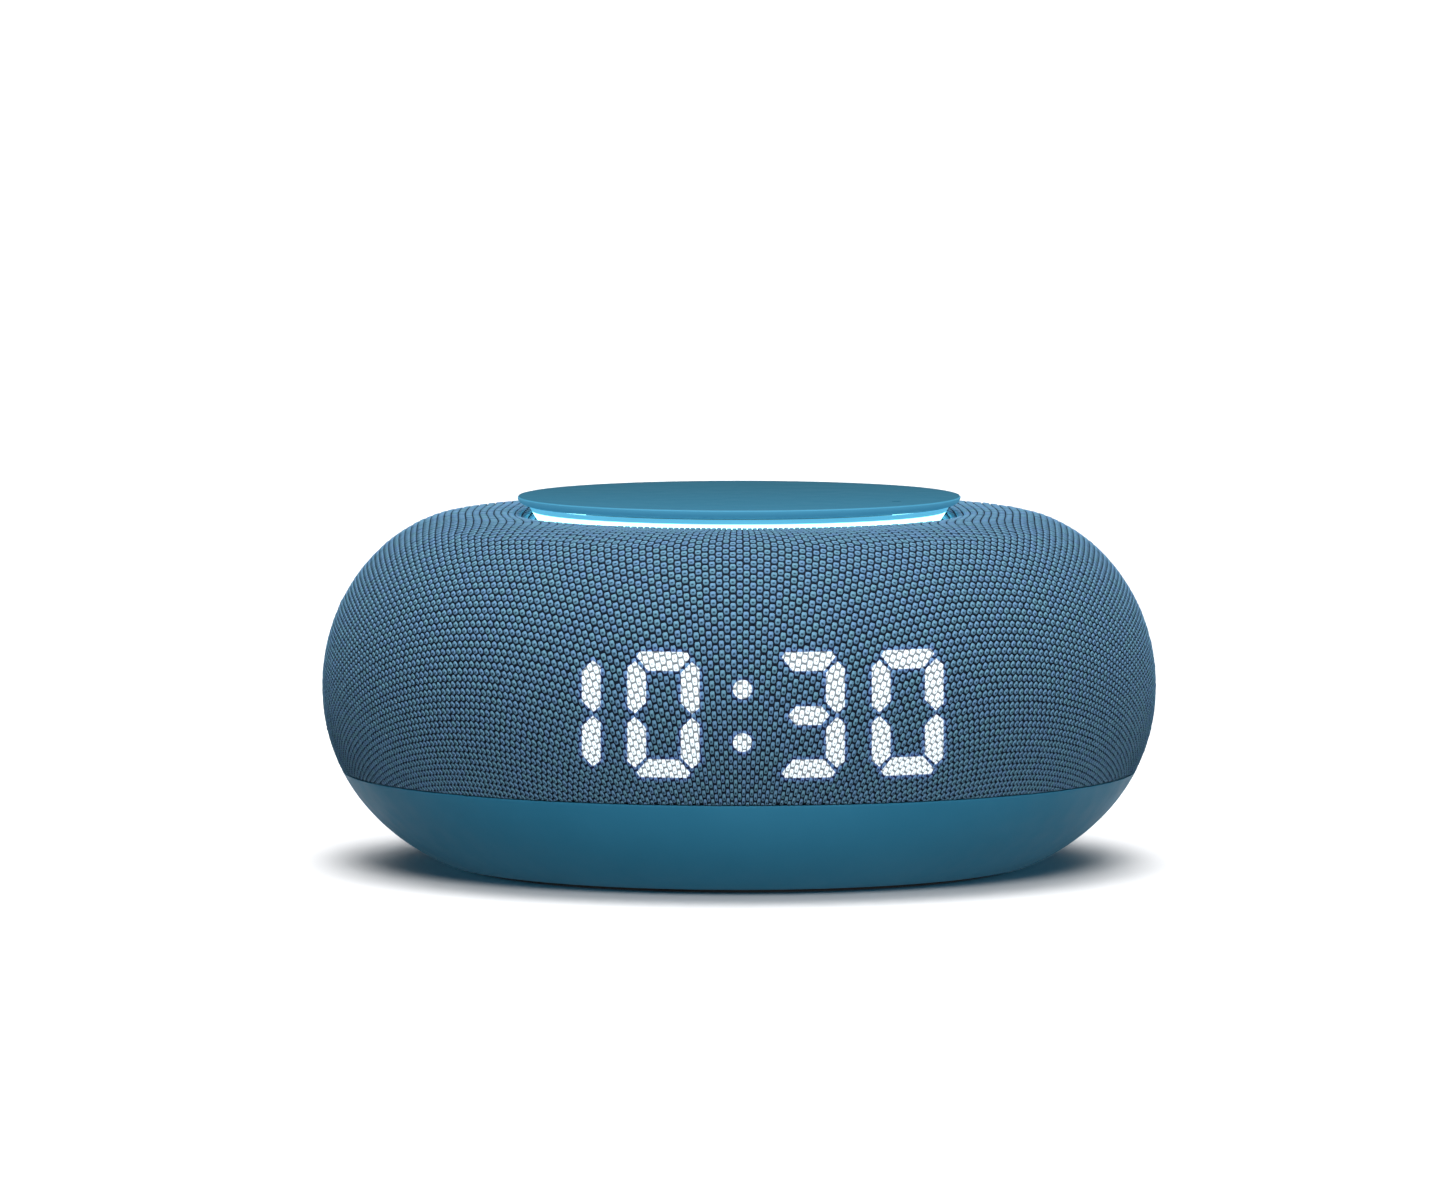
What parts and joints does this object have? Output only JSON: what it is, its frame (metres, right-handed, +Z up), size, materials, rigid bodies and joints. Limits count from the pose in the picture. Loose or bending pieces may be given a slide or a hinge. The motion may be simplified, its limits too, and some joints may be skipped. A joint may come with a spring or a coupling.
{
  "type": "bluetooth speaker clock with charging plate",
  "caption": "Round fabric-covered Bluetooth speaker and alarm clock: digits behind the knit, a glowing ring under a flat wireless charging plate, and a moulded base with a recessed rear panel.",
  "frame": {"origin": "centre of the face that it stands on", "axes": "+Z up through the charging plate, -Y towards the front where the display is, +X to the display's right"},
  "size_m": [0.196, 0.1948, 0.0869],
  "materials": {
    "teal_plastic": "smooth moulded, satin teal",
    "blue_knit": "stretched knit of small raised stitches, light blue crowns with dark gaps",
    "milky_plastic": "translucent white diffuser",
    "black_plastic": "moulded black ABS",
    "rubber": "matt rubber",
    "steel": "plated steel",
    "copper": "enamelled copper wire",
    "ferrite": "dark ferrite sheet",
    "circuit_board": "green circuit board",
    "paper_cone": "black pressed paper",
    "foam": "black foam"
  },
  "bodies": {
    "housing": {"charging_plate": "teal_plastic", "charge_lens": "milky_plastic", "light_ring": "milky_plastic", "ring_light_board": "circuit_board", "charger_housing": "black_plastic", "charger_board": "circuit_board", "coil_carrier": "black_plastic", "ferrite_disc": "ferrite", "charging_coil": "copper", "knit_cover": "blue_knit", "upper_shell": "black_plastic", "display_diffuser": "milky_plastic", "display_housing": "black_plastic", "display_board": "circuit_board", "driver_frame_left": "black_plastic", "driver_magnet_left": "steel", "driver_surround_left": "rubber", "driver_gasket_left": "foam", "driver_frame_right": "black_plastic", "driver_magnet_right": "steel", "driver_surround_right": "rubber", "driver_gasket_right": "foam", "rear_panel": "teal_plastic", "control_board": "circuit_board", "port_board": "circuit_board", "usb_port": "steel", "power_inlet": "black_plastic", "base_shell": "teal_plastic", "foot_ring": "rubber", "cell_door": "teal_plastic", "cell_door_screw": "steel", "backup_cell": "steel", "main_board": "circuit_board", "board_screw_1": "steel", "board_screw_2": "steel", "board_screw_3": "steel", "board_screw_4": "steel", "base_screw_1": "steel", "base_screw_2": "steel", "base_screw_3": "steel", "base_screw_4": "steel"},
    "cone_left": {"driver_cone_left": "paper_cone"},
    "cone_right": {"driver_cone_right": "paper_cone"},
    "button_power_body": {"button_power": "teal_plastic"},
    "button_volume_down_body": {"button_volume_down": "teal_plastic"},
    "button_volume_up_body": {"button_volume_up": "teal_plastic"},
    "button_alarm_body": {"button_alarm": "teal_plastic"},
    "button_light_body": {"button_light": "teal_plastic"}
  },
  "joints": [
    {"name": "cone_left_slide", "type": "slide", "parent": "housing", "child": "cone_left", "axis": [-1, 0, 0], "range_m": [-0.0015, 0.0015], "stiffness_N_per_m": 1100},
    {"name": "cone_right_slide", "type": "slide", "parent": "housing", "child": "cone_right", "axis": [1, 0, 0], "range_m": [-0.0015, 0.0015], "stiffness_N_per_m": 1100},
    {"name": "button_power_press", "type": "slide", "parent": "housing", "child": "button_power_body", "axis": [0, -1, 0], "range_m": [0, 0.0006], "stiffness_N_per_m": 2500, "springref_m": -0.0002},
    {"name": "button_volume_down_press", "type": "slide", "parent": "housing", "child": "button_volume_down_body", "axis": [0, -1, 0], "range_m": [0, 0.0006], "stiffness_N_per_m": 2500, "springref_m": -0.0002},
    {"name": "button_volume_up_press", "type": "slide", "parent": "housing", "child": "button_volume_up_body", "axis": [0, -1, 0], "range_m": [0, 0.0006], "stiffness_N_per_m": 2500, "springref_m": -0.0002},
    {"name": "button_alarm_press", "type": "slide", "parent": "housing", "child": "button_alarm_body", "axis": [0, -1, 0], "range_m": [0, 0.0006], "stiffness_N_per_m": 2500, "springref_m": -0.0002},
    {"name": "button_light_press", "type": "slide", "parent": "housing", "child": "button_light_body", "axis": [0, -1, 0], "range_m": [0, 0.0006], "stiffness_N_per_m": 2500, "springref_m": -0.0002}
  ]
}
